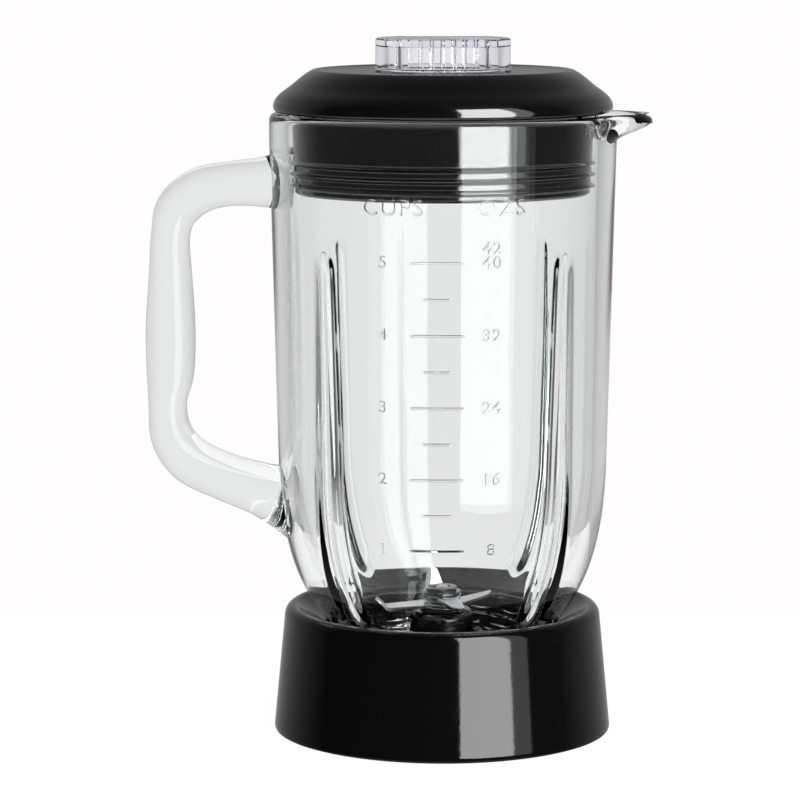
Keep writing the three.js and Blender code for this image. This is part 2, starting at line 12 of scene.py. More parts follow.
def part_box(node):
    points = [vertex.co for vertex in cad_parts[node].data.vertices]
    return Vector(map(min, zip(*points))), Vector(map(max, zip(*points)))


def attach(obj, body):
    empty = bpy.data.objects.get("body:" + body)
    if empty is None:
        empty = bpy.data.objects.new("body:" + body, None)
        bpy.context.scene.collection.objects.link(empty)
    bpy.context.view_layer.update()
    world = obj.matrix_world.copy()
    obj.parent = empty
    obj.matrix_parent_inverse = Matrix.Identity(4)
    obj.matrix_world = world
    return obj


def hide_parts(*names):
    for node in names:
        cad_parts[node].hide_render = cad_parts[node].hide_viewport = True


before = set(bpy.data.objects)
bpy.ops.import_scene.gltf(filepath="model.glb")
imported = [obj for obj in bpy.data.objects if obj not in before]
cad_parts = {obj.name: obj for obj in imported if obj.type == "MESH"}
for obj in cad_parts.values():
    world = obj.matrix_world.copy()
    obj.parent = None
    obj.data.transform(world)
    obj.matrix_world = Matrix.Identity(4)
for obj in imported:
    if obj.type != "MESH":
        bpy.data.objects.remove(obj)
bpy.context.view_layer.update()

MM = 0.001


def span(node):
    """A CAD node's lowest and highest corners, in millimetres."""
    low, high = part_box(node)
    return low / MM, high / MM


# ------------------------------------------------------------------ sizes, from the frame

COLLAR_HIGH = span("collar")[1]
JUG_LOW, JUG_HIGH = span("glass_jug")
LID_LOW, LID_HIGH = span("lid")
CAP_LOW, CAP_HIGH = span("filler_cap")
HOLDER_LOW, HOLDER_HIGH = span("blade_holder")

COLLAR_R = COLLAR_HIGH.x
COLLAR_TOP = COLLAR_HIGH.z
RIM_Z = JUG_HIGH.z
RIM_R = JUG_HIGH.y
NECK_Z = JUG_LOW.z
LID_R = LID_HIGH.x
LID_TOP = LID_HIGH.z - 0.3
CAP_TOP = CAP_HIGH.z

# Jug: pairs are (radius, height)
NECK_R = 39.8
NECK_BORE_R = 34.6
SHOULDER = (42.8, 40.6)  # the neck's upper end, where the rounded foot begins
BORE_FOOT = (37.8, 43.6)  # the same place on the inside
WAIST_Z = 98  # the foot's curve ends here and the tapered wall begins
WAIST_R = 59.4
WAIST_BORE_R = 54.4
MOUTH_R = 55.6
PITCH = 5
THREAD_START = 28.2
THREAD_TURNS = 1.25
THREAD_HEIGHT = 1.8
RIB_TOP = 179
SPOUT_REACH = 12.9
SPOUT_HALF_ANGLE = math.radians(23)


# ------------------------------------------------------------------ mesh helpers


def smoothstep(x, low=0.0, high=1.0):
    t = min(1.0, max(0.0, (x - low) / (high - low)))
    return t * t * (3 - 2 * t)


def bezier(p0, p1, p2, p3, steps):
    """Points along a cubic curve, without its first point."""
    points = []
    for i in range(1, steps + 1):
        t = i / steps
        s = 1 - t
        w = (s**3, 3 * s * s * t, 3 * s * t * t, t**3)
        points.append(tuple(sum(k * p[a] for k, p in zip(w, (p0, p1, p2, p3))) for a in (0, 1)))
    return points


def line(a, b, steps):
    """Points from a to b, without a."""
    dx, dy = b[0] - a[0], b[1] - a[1]
    return [(a[0] + dx * i / steps, a[1] + dy * i / steps) for i in range(1, steps + 1)]


def rounded(points, radius, steps=5):
    """A closed outline with its corners rounded: radius is one number, or one for each corner."""
    n = len(points)
    radii = [radius] * n if isinstance(radius, (int, float)) else radius
    out = []
    for i, p in enumerate(points):
        if radii[i] <= 0:
            out.append(tuple(p))
            continue
        here = Vector(p)
        before = Vector(points[i - 1]) - here
        after = Vector(points[(i + 1) % n]) - here
        reach = min(radii[i], before.length * 0.48, after.length * 0.48)
        start = here + before.normalized() * reach
        end = here + after.normalized() * reach
        for k in range(steps + 1):
            t = k / steps
            q = start * (1 - t) ** 2 + here * 2 * t * (1 - t) + end * t * t
            out.append((q.x, q.y))
    return out


def mesh_from(name, verts, faces):
    """An object of one mesh with its normals outward, from millimetres."""
    mesh = bpy.data.meshes.new(name)
    mesh.from_pydata([Vector(v) * MM for v in verts], [], faces)
    mesh.validate()
    bm = bmesh.new()
    bm.from_mesh(mesh)
    bmesh.ops.remove_doubles(bm, verts=bm.verts, dist=1e-7)
    bmesh.ops.recalc_face_normals(bm, faces=bm.faces)
    bm.to_mesh(mesh)
    bm.free()
    obj = bpy.data.objects.new(name, mesh)
    bpy.context.scene.collection.objects.link(obj)
    return obj


def lathe(name, outline, segments=192, shape=None):
    """A body turned about Z from a closed outline of (r, z). shape(r, angle, z, i) may move a point."""
    verts, faces = [], []
    n = len(outline)
    for s in range(segments):
        angle = 2 * math.pi * s / segments
        for i, (r, z) in enumerate(outline):
            if shape:
                r, z = shape(r, angle, z, i)
            verts.append((r * math.cos(angle), r * math.sin(angle), z))
    for s in range(segments):
        t = (s + 1) % segments
        for i in range(n):
            j = (i + 1) % n
            if outline[i][0] < 1e-6 and outline[j][0] < 1e-6:
                continue
            faces.append((s * n + i, t * n + i, t * n + j, s * n + j))
    return mesh_from(name, verts, faces)


def loft(name, rings):
    """A skin through rings of 3-D points, with both ends closed."""
    n = len(rings[0])
    verts = [p for ring in rings for p in ring]
    faces = [
        (i * n + j, i * n + (j + 1) % n, (i + 1) * n + (j + 1) % n, (i + 1) * n + j)
        for i in range(len(rings) - 1)
        for j in range(n)
    ]
    faces.append(tuple(range(n)))
    faces.append(tuple((len(rings) - 1) * n + j for j in range(n)))
    return mesh_from(name, verts, faces)


def prism(name, outline, bottom, top, edge=0.3):
    """An upright prism from an outline of (x, y) with small chamfers at both ends."""
    middle = Vector((sum(p[0] for p in outline), sum(p[1] for p in outline))) / len(outline)

    def at(z, inset):
        ring = []
        for p in outline:
            v = Vector(p) - middle
            v *= max(0.0, 1 - inset / max(v.length, 1e-6))
            ring.append((middle.x + v.x, middle.y + v.y, z))
        return ring

    rings = [at(bottom, edge), at(bottom + edge, 0), at(top - edge, 0), at(top, edge)]
    return loft(name, rings)


def place(obj, matrix):
    obj.data.transform(matrix)
    return obj


def turned(obj, degrees):
    return place(obj, Matrix.Rotation(math.radians(degrees), 4, "Z"))


def raised(obj, z):
    return place(obj, Matrix.Translation((0, 0, z * MM)))


def combine(target, tools, operation):
    """Joins or cuts target with the tools, which are used up."""
    for tool in tools:
        modifier = target.modifiers.new("combine", "BOOLEAN")
        modifier.operation = operation
        modifier.solver = "EXACT"
        modifier.object = tool
        graph = bpy.context.evaluated_depsgraph_get()
        made = bpy.data.meshes.new_from_object(target.evaluated_get(graph))
        target.modifiers.clear()
        old = target.data
        target.data = made
        bpy.data.meshes.remove(old)
        bpy.data.meshes.remove(tool.data)
    return target


def smooth(obj, degrees=35):
    obj.data.shade_smooth()
    obj.data.set_sharp_from_angle(angle=math.radians(degrees))
    return obj


def bevel(obj, width):
    """Bevels the mesh's sharper edges."""
    modifier = obj.modifiers.new("edges", "BEVEL")
    modifier.width = width * MM
    modifier.segments = 2
    modifier.limit_method = "ANGLE"
    modifier.angle_limit = math.radians(40)
    modifier.harden_normals = False
    graph = bpy.context.evaluated_depsgraph_get()
    made = bpy.data.meshes.new_from_object(obj.evaluated_get(graph))
    obj.modifiers.clear()
    obj.data = made
    return obj


def piece(obj, name, body, material, slot, *nodes, degrees=35):
    """Names a finished mesh, gives it its material and hangs it on its CAD body."""
    obj.name = name
    obj.data.name = name
    obj.data.materials.clear()
    obj.data.materials.append(material)
    smooth(obj, degrees)
    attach(obj, body)
    if nodes:
        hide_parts(*nodes)
    return obj


# ------------------------------------------------------------------ materials


class Nodes:
    """A small builder for one material's node tree."""

    def __init__(self, name):
        self.material = bpy.data.materials.new(name)
        self.material.use_nodes = True
        self.tree = self.material.node_tree
        self.shader = self.tree.nodes["Principled BSDF"]
        self.output = self.tree.nodes["Material Output"]
        self.place = self.add("ShaderNodeTexCoord").outputs["Object"]

    def add(self, kind, **inputs):
        node = self.tree.nodes.new(kind)
        for key, value in inputs.items():
            self.put(node.inputs[key.replace("_", " ")], value)
        return node

    def put(self, socket, value):
        if isinstance(value, bpy.types.NodeSocket):
            self.tree.links.new(value, socket)
        else:
            socket.default_value = value

    def set(self, **inputs):
        for key, value in inputs.items():
            self.put(self.shader.inputs[key.replace("_", " ")], value)

    def noise(self, scale, detail=3.0, stretch=(1, 1, 1)):
        mapping = self.add("ShaderNodeMapping", Vector=self.place, Scale=stretch)
        node = self.add("ShaderNodeTexNoise", Vector=mapping.outputs["Vector"], Scale=scale, Detail=detail)
        return node.outputs["Fac"]

    def range(self, value, low, high, from_low=0.3, from_high=0.7):
        node = self.add("ShaderNodeMapRange", Value=value)
        node.inputs["From Min"].default_value = from_low
        node.inputs["From Max"].default_value = from_high
        node.inputs["To Min"].default_value = low
        node.inputs["To Max"].default_value = high
        return node.outputs["Result"]

    def mix(self, factor, a, b):
        node = self.add("ShaderNodeMix")
        node.data_type = "RGBA"
        self.put(node.inputs[0], factor)
        self.put(node.inputs[6], a)
        self.put(node.inputs[7], b)
        return node.outputs[2]

    def math(self, operation, a, b):
        node = self.add("ShaderNodeMath")
        node.operation = operation
        self.put(node.inputs[0], a)
        self.put(node.inputs[1], b)
        return node.outputs[0]

    def height(self):
        node = self.add("ShaderNodeSeparateXYZ", Vector=self.place)
        return node.outputs["Z"]

    def bump(self, height, strength, distance):
        node = self.add("ShaderNodeBump", Height=height, Strength=strength, Distance=distance)
        self.put(self.shader.inputs["Normal"], node.outputs["Normal"])


def glass_material():
    """Clear pressed glass, faintly green in its depth, with soft waves from the mould."""
    n = Nodes("pressed_glass")
    n.set(Base_Color=(0.97, 0.975, 0.973, 1), IOR=1.5, Transmission_Weight=1.0)
    n.set(Specular_Tint=(0.32, 0.32, 0.32, 1))
    n.set(Roughness=n.range(n.noise(90, 2), 0.0, 0.012))
    waves = n.noise(16, 2, (1, 1, 0.35))
    n.bump(waves, 0.12, 0.004)
    volume = n.add("ShaderNodeVolumeAbsorption")
    volume.inputs["Color"].default_value = (0.62, 0.86, 0.74, 1)
    volume.inputs["Density"].default_value = 5.0
    n.tree.links.new(volume.outputs[0], n.output.inputs["Volume"])
    return n.material


def clear_plastic_material():
    """Clear moulded plastic, faintly violet in its depth."""
    n = Nodes("clear_plastic")
    n.set(Base_Color=(0.985, 0.985, 1.0, 1), IOR=1.3, Transmission_Weight=1.0)
    n.set(Roughness=n.range(n.noise(400, 3), 0.01, 0.05))
    n.bump(n.noise(60, 2), 0.08, 0.002)
    volume = n.add("ShaderNodeVolumeAbsorption")
    volume.inputs["Color"].default_value = (0.5, 0.5, 0.85, 1)
    volume.inputs["Density"].default_value = 9.0
    n.tree.links.new(volume.outputs[0], n.output.inputs["Volume"])
    return n.material


def black_plastic_material(name, low, high, colour, edge_gloss=None, ior=1.49):
    """Moulded black plastic: a fine moulding texture, soft smears in the gloss and faint scratches.
    edge_gloss is (height in metres below which it is glossier, that roughness); there it also has
    a higher index, as a polished part of the mould gives it a stronger shine."""
    n = Nodes(name)
    smears = n.noise(22, 4, (1, 1, 0.3))
    fine = n.noise(900, 2)
    rough = n.range(smears, low, high)
    rough = n.math("ADD", rough, n.math("MULTIPLY", n.math("SUBTRACT", fine, 0.5), 0.05))
    if edge_gloss:
        height, gloss = edge_gloss
        above = n.range(n.height(), 0.0, 1.0, height - 0.0005, height + 0.0005)
        glossy = n.range(smears, gloss * 0.8, gloss * 1.3)
        rough = n.math(
            "ADD",
            n.math("MULTIPLY", rough, above),
            n.math("MULTIPLY", glossy, n.math("SUBTRACT", 1.0, above)),
        )
        ior = n.range(above, ior + 0.28, ior, 0.0, 1.0)
    dust = n.range(n.noise(160, 6), 0.0, 1.0, 0.62, 0.8)
    shade = tuple(c * 1.9 for c in colour)
    n.set(Base_Color=n.mix(dust, (*colour, 1), (*shade, 1)), Roughness=rough, IOR=ior)
    scratches = n.noise(260, 2, (1, 1, 0.02))
    fine_bump = n.math("ADD", n.math("MULTIPLY", fine, 0.5), n.math("MULTIPLY", scratches, 0.3))
    n.bump(fine_bump, 0.05, 0.0004)
    return n.material


def steel_material(name, colour, low, high, stretch=(1, 1, 1), scale=500):
    """Metal with a fine grain, which stretch draws out, and patches of wear."""
    n = Nodes(name)
    grain = n.noise(scale, 3, stretch)
    patches = n.noise(70, 3)
    mean = n.math("MULTIPLY", n.math("ADD", grain, patches), 0.5)
    n.set(Metallic=1.0, Roughness=n.range(mean, low, high))
    dark = tuple(c * 0.8 for c in colour)
    n.set(Base_Color=n.mix(n.range(patches, 0, 1), (*dark, 1), (*colour, 1)))
    n.bump(grain, 0.12, 0.0003)
    return n.material


def soft_material(name, colour, rough):
    """Rubber or nylon with a fine grain."""
    n = Nodes(name)
    grain = n.noise(300, 4)
    light = tuple(min(1, c * 1.35 + 0.005) for c in colour)
    n.set(Base_Color=n.mix(grain, (*colour, 1), (*light, 1)))
    n.set(Roughness=n.range(grain, rough - 0.1, rough + 0.1))
    n.bump(grain, 0.2, 0.0004)
    return n.material


GLASS = glass_material()
CLEAR = clear_plastic_material()
COLLAR_BLACK = black_plastic_material("collar_black", 0.045, 0.09, (0.0014, 0.0014, 0.0016))
LID_BLACK = black_plastic_material(
    "lid_black", 0.2, 0.26, (0.0016, 0.0016, 0.0018), ((LID_HIGH.z - 10.5) * MM, 0.07), 1.58
)
HOLDER_BLACK = black_plastic_material("holder_black", 0.1, 0.2, (0.003, 0.003, 0.0033))
STEEL = steel_material("blade_steel", (0.66, 0.67, 0.68), 0.12, 0.3, (1, 0.06, 1))
TURNED_STEEL = steel_material("turned_steel", (0.6, 0.61, 0.62), 0.15, 0.32, (1, 1, 8))
# The nut and the top washer get a darker copy of the turned steel: painted shade for the dark room that
# their faces mirror.
PAINTED_DARK_STEEL = steel_material("nut_steel_painted_dark", (0.16, 0.165, 0.17), 0.12, 0.24, (1, 1, 8))
BRONZE = steel_material("sintered_bronze", (0.5, 0.34, 0.17), 0.35, 0.6)
CAST = steel_material("cast_coupling", (0.5, 0.51, 0.52), 0.3, 0.55, scale=220)
RUBBER = soft_material("black_rubber", (0.02, 0.02, 0.02), 0.7)
NYLON = soft_material("black_nylon", (0.03, 0.03, 0.03), 0.5)


# ------------------------------------------------------------------ glass jug


def outer_radius(z):
    """The jug's outer radius on its tapered wall."""
    t = (z - WAIST_Z) / (RIM_Z - 10 - WAIST_Z)
    return WAIST_R + (RIM_R - WAIST_R) * min(1, max(-0.12, t))


def jug_outline():
    """The jug's closed outline, and how many of its points, from the first, are outside."""
    bottom = NECK_Z
    outside = [(NECK_R - 1.4, bottom), (NECK_R - 0.5, bottom + 0.3), (NECK_R, bottom + 1.2)]
    outside += line(outside[-1], (NECK_R, SHOULDER[1] - 2), 36)
    outside += bezier(outside[-1], (NECK_R, SHOULDER[1] - 0.6), (41, SHOULDER[1] - 0.4), SHOULDER, 6)
    outside += bezier(SHOULDER, (54.5, 56), (58.6, 72), (WAIST_R, WAIST_Z), 40)
    outside += line((WAIST_R, WAIST_Z), (RIM_R, RIM_Z - 10), 56)
    outside += line((RIM_R, RIM_Z - 10), (RIM_R, RIM_Z - 2.6), 8)
    outside += bezier(outside[-1], (RIM_R, RIM_Z - 0.8), (RIM_R - 1, RIM_Z), (RIM_R - 2.8, RIM_Z), 6)
    count = len(outside)
    inside = line(outside[-1], (MOUTH_R + 2, RIM_Z), 3)
    inside += bezier(inside[-1], (MOUTH_R + 0.7, RIM_Z), (MOUTH_R, RIM_Z - 0.8), (MOUTH_R, RIM_Z - 2.4), 6)
    inside += line(inside[-1], (MOUTH_R - 0.1, RIM_Z - 12), 10)
    inside += line(inside[-1], (WAIST_BORE_R, WAIST_Z), 56)
    inside += bezier((WAIST_BORE_R, WAIST_Z), (53.6, 73.6), (49, 58.7), BORE_FOOT, 40)
    inside += bezier(BORE_FOOT, (36, 40), (NECK_BORE_R, 38.6), (NECK_BORE_R, 36), 8)
    inside += line(inside[-1], (NECK_BORE_R, bottom + 1), 6)
    inside += [(NECK_BORE_R + 0.4, bottom + 0.2), (NECK_BORE_R + 1.2, bottom)]
    inside += line(inside[-1], (NECK_R - 1.4, bottom), 3)[:-1]
    return outside + inside, count


def thread_height(angle, z):
    """How far the neck's thread stands out of the neck here."""
    best = 0.0
    for turn in range(2):
        total = angle + 2 * math.pi * turn
        if total > THREAD_TURNS * 2 * math.pi:
            continue
        centre = THREAD_START + PITCH * total / (2 * math.pi)
        flank = (1.3 - abs(z - centre)) / 0.6
        ends = min(total, THREAD_TURNS * 2 * math.pi - total) * NECK_R / 6
        best = max(best, min(1, max(0, flank)) * min(1, ends))
    return best * THREAD_HEIGHT


def rib_profile(angle, radius):
    """Distance round the wall, in millimetres, from the nearest rib's middle."""
    quarter = math.pi / 2
    off = (angle - quarter / 2) % quarter
    return min(off, quarter - off) * radius


def jug_shape(count):
    """How the turned outline is moved: out for the neck's thread and the spout, in for the ribs."""

    def shape(r, angle, z, i):
        outside = i < count
        if z < SHOULDER[1] - 2 and outside:
            return r + thread_height(angle, z), z
        if z > RIM_Z - 13:
            away = (angle + math.pi) % (2 * math.pi) - math.pi
            spread = max(0.0, 1 - abs(away) / SPOUT_HALF_ANGLE)
            lip = smoothstep(spread) ** 0.9
            if outside:
                r += SPOUT_REACH * lip * smoothstep(z, RIM_Z - 9.4, RIM_Z - 2.6) ** 0.7
                if z > RIM_Z - 3:
                    z -= 0.9 * lip * smoothstep(r, RIM_R + 4, RIM_R + SPOUT_REACH)
            elif r > MOUTH_R - 1:
                r += (SPOUT_REACH + 2.4) * lip * smoothstep(z, RIM_Z - 9.5, RIM_Z - 0.6) ** 0.8
            return r, z
        if z < RIB_TOP + 3:
            off = rib_profile(angle, r)
            down = (RIB_TOP - z) / (RIB_TOP - 60)
            wide = 3.2 + 3.2 * min(1, max(0, down))
            foot = smoothstep(z, 43, 60)
            start = smoothstep(RIB_TOP - z, 0, 9)
            across = (0.5 + 0.5 * math.cos(math.pi * min(1, off / wide))) * start
            if outside:
                r -= across * (1.0 + 1.2 * min(1, max(0, down))) * smoothstep(z, 42, 58)
            else:
                r -= across * (1.4 + 5.0 * min(1, max(0, down)) ** 0.8) * foot
        return r, z

    return shape


# The handle's stations run from the upper root to the lower one: (x, z, half its thickness).
HANDLE = [
    (-50, 200.4, 13.5),
    (-57.5, 199.9, 11.2),
    (-64, 199.5, 9.1),
    (-76, 198.9, 8),
    (-87, 196.6, 8.2),
    (-95.2, 190, 8),
    (-98, 180.5, 7),
    (-98.2, 167, 7.7),
    (-98.3, 148, 8.9),
    (-98.5, 131, 8.6),
    (-99.6, 118.5, 6.9),
    (-98, 107, 7.8),
    (-91.5, 98.4, 8.6),
    (-80, 92.6, 8.6),
    (-67, 88, 9.5),
    (-58.5, 85, 11.4),
    (-51, 82.4, 14),
]
HANDLE_HALF_WIDTH = 10.5


def catmull(values, t):
    """A smooth curve through a list of equally spaced tuples, at t from 0 to 1."""
    last = len(values) - 1
    i = min(last - 1, int(t * last))
    u = t * last - i
    p = [values[max(0, min(last, i + k))] for k in (-1, 0, 1, 2)]
    out = []
    for a, b, c, d in zip(*p):
        square = (2 * a - 5 * b + 4 * c - d) * u * u
        cube = (3 * b - a - 3 * c + d) * u**3
        out.append(0.5 * (2 * b + (c - a) * u + square + cube))
    return out


def handle():
    """The handle, lofted through its stations and wider where it meets the wall."""
    steps, around = 150, 40
    rings = []
    for i in range(steps + 1):
        t = i / steps
        x, z, thick = catmull(HANDLE, t)
        a, b = catmull(HANDLE, max(0, t - 0.004)), catmull(HANDLE, min(1, t + 0.004))
        along = Vector((b[0] - a[0], 0, b[1] - a[1])).normalized()
        outward = Vector((along.z, 0, -along.x))
        flare = 1 + 0.45 * smoothstep(abs(t - 0.5), 0.42, 0.5)
        ring = []
        for j in range(around):
            angle = 2 * math.pi * j / around
            c, s = math.cos(angle), math.sin(angle)
            squared = 2.5 if c * outward.x > 0 else 2.15
            reach = (abs(c) ** squared + abs(s) ** squared) ** (-1 / squared)
            point = Vector((x, 0, z)) + outward * (thick * reach * c)
            point.y += HANDLE_HALF_WIDTH * flare * reach * s
            ring.append(point)
        rings.append(ring)
    return loft("handle", rings)


CUPS = 5
FIRST_CUP_Z = 75.0
CUP_SPACING = 25.3
LINES_X = -2.6
LINE_HALF = (9.5, 5.0)  # half the length of a long line and of a short one
OUNCES_IN_CUP = 8
CUP_NUMBERS_X = -19.5
OUNCE_NUMBERS_X = 19.2
NUMBER_SIZE = 4.2
WORDS_Z = 194.9
WORD_SIZE = 5.6
LETTER_HEIGHT = 0.5
LETTER_DEPTH = 0.3  # how far a letter's body reaches into the wall
LETTER_SLOPE = 0.2
LETTER_WIDEN = 1.12
CAPITAL_SHARE = 0.72  # a capital's height over the font's size


def on_wall(x, out, z):
    """A point x millimetres round the graduated wall from its middle, and out from its surface."""
    radius = outer_radius(z) if z > WAIST_Z else wall_at(z)
    angle = (x + LINES_X) / radius
    return ((radius + out) * math.sin(angle), -(radius + out) * math.cos(angle), z)


WALL_CURVE = bezier(SHOULDER, (54.5, 56), (58.6, 72), (WAIST_R, WAIST_Z), 60)


def wall_at(z):
    """The outer radius on the jug's rounded foot."""
    nearest = min(WALL_CURVE, key=lambda p: abs(p[1] - z))
    return nearest[0]


def graduation_line(z, half):
    """A raised rounded bar across the wall."""
    rings = []
    steps = 24
    for i in range(steps + 1):
        x = -half + 2 * half * i / steps
        end = min(1.0, 0.25 + min(i, steps - i) * 0.4)
        section = [(-0.45, -1.2), (-0.45, 0.05), (-0.25, 0.42), (0.25, 0.42), (0.45, 0.05), (0.45, -1.2)]
        narrow = 0.6 + 0.4 * end
        rings.append([on_wall(x, min(out, out * end), z + dz * narrow) for dz, out in section])
    return loft("line", rings)


def lettering(text, x, z, height):
    """Raised letters that follow the wall: their bodies reach into it."""
    curve = bpy.data.curves.new("text", "FONT")
    curve.body = text
    curve.size = height / CAPITAL_SHARE
    curve.align_x = "CENTER"
    curve.align_y = "CENTER"
    curve.resolution_u = 3
    curve.extrude = 1
    curve.offset = 0.04
    curve.space_character = LETTER_WIDEN
    holder = bpy.data.objects.new("text", curve)
    bpy.context.scene.collection.objects.link(holder)
    bpy.context.view_layer.update()
    graph = bpy.context.evaluated_depsgraph_get()
    mesh = bpy.data.meshes.new_from_object(holder.evaluated_get(graph))
    bpy.data.objects.remove(holder)
    bm = bmesh.new()
    bm.from_mesh(mesh)
    bmesh.ops.remove_doubles(bm, verts=bm.verts, dist=1e-4)
    bmesh.ops.recalc_face_normals(bm, faces=bm.faces)
    face = [f for f in bm.faces if f.normal.z > 0.9 and f.calc_center_median().z > 0]
    bmesh.ops.inset_region(bm, faces=face, thickness=LETTER_SLOPE)
    crest = {v for f in face for v in f.verts}
    for v in bm.verts:
        out = LETTER_HEIGHT if v in crest else (0.02 if v.co.z > 0 else -LETTER_DEPTH)
        v.co = Vector(on_wall(x + v.co.x * LETTER_WIDEN, out, z + v.co.y)) * MM
    bm.to_mesh(mesh)
    bm.free()
    obj = bpy.data.objects.new("text", mesh)
    bpy.context.scene.collection.objects.link(obj)
    return obj


def gathered(name, objects):
    """One mesh that holds all the objects' meshes. The objects are used up."""
    bm = bmesh.new()
    for obj in objects:
        bm.from_mesh(obj.data)
        bpy.data.objects.remove(obj)
    mesh = bpy.data.meshes.new(name)
    bm.to_mesh(mesh)
    bm.free()
    made = bpy.data.objects.new(name, mesh)
    bpy.context.scene.collection.objects.link(made)
    return made


def graduation_lines():
    """A long line at each cup and a short one at each half cup."""
    lines = []
    for i in range(2 * CUPS - 1):
        lines.append(graduation_line(FIRST_CUP_Z + i * CUP_SPACING / 2, LINE_HALF[i % 2]))
    return lines


def all_lettering():
    """The cups and ounces beside the lines, and the two unit words over them."""
    letters = []
    for cup in range(1, CUPS + 1):
        z = FIRST_CUP_Z + (cup - 1) * CUP_SPACING
        letters.append(lettering(str(cup), CUP_NUMBERS_X, z, NUMBER_SIZE))
        letters.append(lettering(str(OUNCES_IN_CUP * cup), OUNCE_NUMBERS_X, z, NUMBER_SIZE))
    full_z = FIRST_CUP_Z + (CUPS - 1) * CUP_SPACING + 4.9
    letters.append(lettering("42", OUNCE_NUMBERS_X, full_z, NUMBER_SIZE))
    letters.append(lettering("CUPS", -16.0, WORDS_Z, WORD_SIZE))
    letters.append(lettering("OZS", 22.9, WORDS_Z, WORD_SIZE))
    return letters


def build_jug():
    """The glass. The handle's roots are cut to the bore before they are joined to the wall."""
    outline, count = jug_outline()
    jug = lathe("jug", outline, 384, jug_shape(count))
    bore_cut = [p for p in outline[count:] if p[1] > 60 and p[1] < RIM_Z - 12]
    plug = [(0, bore_cut[0][1])] + bore_cut + [(0, bore_cut[-1][1])]
    inner = lathe("plug", plug, 384, lambda r, a, z, i: (r + 1.2 if r else 0, z))
    combine(jug, [combine(handle(), [inner], "DIFFERENCE")], "UNION")
    combine(jug, [gathered("lines", graduation_lines())], "UNION")
    jug = gathered("jug", [jug, *all_lettering()])
    return piece(jug, "jug_glass", "jug", GLASS, "clear_glass", "glass_jug", degrees=32)


# ------------------------------------------------------------------ collar


def build_collar():
    """The collar's shell, with its gussets and its inner thread."""
    wall = 2.8
    shoulder_z = COLLAR_TOP - 3.5
    shoulder_r = 57.4
    lip_r = 54
    funnel = (44.8, 39.6)
    ring_r = 42.4
    shelf_z = 17.3
    outside = [(COLLAR_R - 1.0, 0), (COLLAR_R - 0.25, 0.25), (COLLAR_R, 1.0)]
    outside += line(outside[-1], (shoulder_r, shoulder_z), 24)
    curves = [
        ((shoulder_r - 0.2, COLLAR_TOP - 1.4), (lip_r + 1.8, COLLAR_TOP), (lip_r, COLLAR_TOP), 12),
        ((lip_r - 0.9, COLLAR_TOP), (lip_r - 1.2, COLLAR_TOP - 0.3), (lip_r - 1.9, COLLAR_TOP - 0.9), 5),
    ]
    for curve in curves:
        outside += bezier(outside[-1], *curve)
    outside += line(outside[-1], funnel, 12)
    corners = [
        (ring_r, funnel[1] - 0.6),
        (ring_r, shelf_z + 3),
        (33.5, shelf_z + 3),
        (33.5, shelf_z),
        (ring_r + wall, shelf_z),
        (ring_r + wall, funnel[1] - wall),
        (lip_r - 1.3, COLLAR_TOP - 0.8 - wall),
        (shoulder_r - wall, shoulder_z - 1),
        (COLLAR_R - wall, 0.6),
        (COLLAR_R - wall + 0.6, 0),
    ]
    outline = outside + rounded(corners, [0.5, 0, 0.5, 0.5, 0.8, 0.8, 1.5, 3, 0, 0])
    collar = lathe("collar", outline, 256)
    tools = []
    for i in range(8):
        shape = [
            (ring_r + wall - 0.5, shelf_z + 0.3),
            (COLLAR_R - wall - 1.1, shelf_z + 0.3),
            (shoulder_r - wall + 0.5, shoulder_z - 0.8),
            (lip_r - 1.3, COLLAR_TOP - wall + 0.4),
            (ring_r + wall - 0.5, funnel[1] - wall + 0.4),
        ]
        rings = [[(r, y, z) for r, z in shape] for y in (-1, 1)]
        tools.append(turned(loft("gusset", rings), 22.5 + 45 * i))
    tools.append(thread_ridge(ring_r, 40.6))
    combine(collar, tools, "UNION")
    return piece(collar, "collar_shell", "collar", COLLAR_BLACK, "black_gloss", "collar", degrees=30)


def thread_ridge(root, crest):
    """The collar's inner thread, half a pitch above the neck's."""
    rings = []
    steps = 160
    for i in range(steps + 1):
        turn = THREAD_TURNS * i / steps
        angle = 2 * math.pi * turn
        z = THREAD_START + PITCH / 2 + PITCH * turn
        end = min(1.0, min(i, steps - i) / 8)
        tip = root + (crest - root) * (0.15 + 0.85 * end)
        section = [(root + 0.4, -1.3), (tip, -0.7), (tip, 0.7), (root + 0.4, 1.3)]
        rings.append([(r * math.cos(angle), r * math.sin(angle), z + dz) for r, dz in section])
    return loft("thread", rings)


# ------------------------------------------------------------------ lid and filler cap


LID_SEALS = (3.6, 7.6, 11.6)  # the sealing rings' heights over the skirt's lower edge
LID_SEAL_R = 54.9


